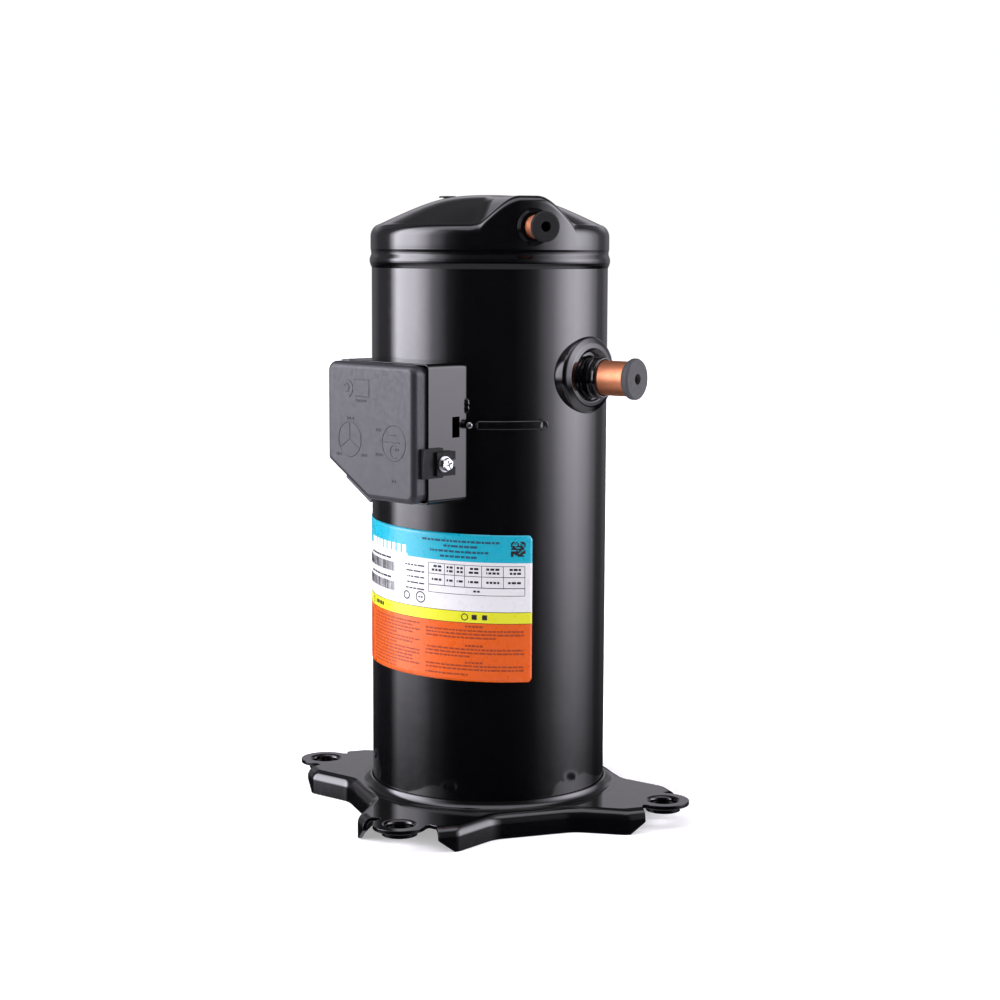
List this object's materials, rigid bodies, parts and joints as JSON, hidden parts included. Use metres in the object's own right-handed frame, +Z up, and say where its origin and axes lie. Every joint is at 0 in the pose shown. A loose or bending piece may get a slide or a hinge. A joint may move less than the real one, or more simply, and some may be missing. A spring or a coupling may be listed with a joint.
{
  "type": "scroll compressor",
  "caption": "Hermetic scroll compressor: a welded upright shell on a square stamped base, with plugged copper stubs, a terminal box and a complete scroll set and motor inside.",
  "frame": {"origin": "on the floor under the shell's axis, which is also the centre of the bolt square", "axes": "+Z up along the shell and crankshaft, X and Y along the sides of the bolt square, and the discharge stub leaves near -Y, at an angle of -89 degrees round +Z"},
  "size_m": [0.2343, 0.2292, 0.4325],
  "materials": {
    "black_paint": "gloss black enamel",
    "cover_plastic": "satin moulded black plastic",
    "copper": "bright drawn copper",
    "suction_rubber": "matt grey rubber",
    "discharge_rubber": "matt dark rubber",
    "pocket_black": "matt black",
    "zinc": "bright zinc plate",
    "label_film": "printed film",
    "cast_iron": "machined grey iron",
    "steel": "machined steel",
    "electrical_steel": "stacked laminations",
    "winding": "varnished enamelled copper wire",
    "aluminium": "cast aluminium",
    "bronze": "bearing bronze",
    "insulation": "woven sleeving",
    "terminal_glass": "fused seal"
  },
  "bodies": {
    "housing": {"base_plate": "black_paint", "shell_tube": "black_paint", "lower_shell_cap": "black_paint", "top_cap": "black_paint", "suction_pad": "black_paint", "suction_fitting": "black_paint", "discharge_collar": "black_paint", "terminal_fence": "black_paint", "harness_strap": "black_paint", "suction_stub": "copper", "discharge_stub": "copper", "terminal_pin_1": "copper", "terminal_pin_2": "copper", "terminal_pin_3": "copper", "sensor_pocket": "pocket_black", "strap_stud": "zinc", "rating_label": "label_film", "fixed_scroll": "cast_iron", "main_bearing_housing": "cast_iron", "lower_bearing_plate": "cast_iron", "debris_magnet": "cast_iron", "separator_plate": "steel", "scroll_bolt_1": "steel", "scroll_bolt_2": "steel", "scroll_bolt_3": "steel", "scroll_bolt_4": "steel", "thrust_plate": "steel", "check_valve_cage": "steel", "suction_baffle": "steel", "motor_protector": "steel", "terminal_header": "steel", "stator_core": "electrical_steel", "upper_winding": "winding", "lower_winding": "winding", "main_bearing_bush": "bronze", "lower_bearing_bush": "bronze", "relief_valve": "bronze", "lead_wire_1": "insulation", "lead_wire_2": "insulation", "lead_wire_3": "insulation", "pin_seal_1": "terminal_glass", "pin_seal_2": "terminal_glass", "pin_seal_3": "terminal_glass"},
    "crank": {"crankshaft": "steel", "drive_bush": "bronze", "upper_counterweight": "bronze", "lower_counterweight": "bronze", "rotor_core": "electrical_steel", "rotor_upper_ring": "aluminium", "rotor_lower_ring": "aluminium", "oil_pickup": "steel"},
    "orbiting_scroll": {"orbiting_scroll": "cast_iron"},
    "oldham_ring": {"oldham_ring": "aluminium"},
    "floating_seal": {"floating_seal": "aluminium"},
    "check_valve": {"check_valve_disc": "steel"},
    "terminal_cover": {"terminal_cover": "cover_plastic"},
    "cover_screw": {"cover_screw": "zinc"},
    "suction_plug": {"suction_plug": "suction_rubber"},
    "discharge_plug": {"discharge_plug": "discharge_rubber"}
  },
  "joints": [
    {"name": "crank_spin", "type": "hinge", "parent": "housing", "child": "crank", "pos_m": [0, 0, 0.2], "axis": [0, 0, 1], "continuous": true},
    {"name": "orbit", "type": "hinge", "parent": "crank", "child": "orbiting_scroll", "pos_m": [0.0041, 0, 0.35], "axis": [0, 0, 1], "continuous": true},
    {"name": "oldham_slide", "type": "slide", "parent": "housing", "child": "oldham_ring", "axis": [-1, 0, 0], "range_m": [0, 0.0082]},
    {"name": "seal_float", "type": "slide", "parent": "housing", "child": "floating_seal", "axis": [0, 0, -1], "range_m": [0, 0.0012]},
    {"name": "check_valve_lift", "type": "slide", "parent": "housing", "child": "check_valve", "axis": [0, 0, 1], "range_m": [0, 0.003]},
    {"name": "cover_pull", "type": "slide", "parent": "housing", "child": "terminal_cover", "axis": [-0.9157, -0.4019, 0], "range_m": [0, 0.03]},
    {"name": "cover_screw_back_out", "type": "slide", "parent": "housing", "child": "cover_screw", "axis": [0.4019, -0.9157, 0], "range_m": [0, 0.02]},
    {"name": "suction_plug_pull", "type": "slide", "parent": "housing", "child": "suction_plug", "axis": [0.5835, -0.8121, 0], "range_m": [0, 0.03]},
    {"name": "discharge_plug_pull", "type": "slide", "parent": "housing", "child": "discharge_plug", "axis": [0.0175, -0.9998, 0], "range_m": [0, 0.03]}
  ],
  "couplings": [
    {"joint": "orbit", "follows": "crank_spin", "ratio": -1}
  ]
}
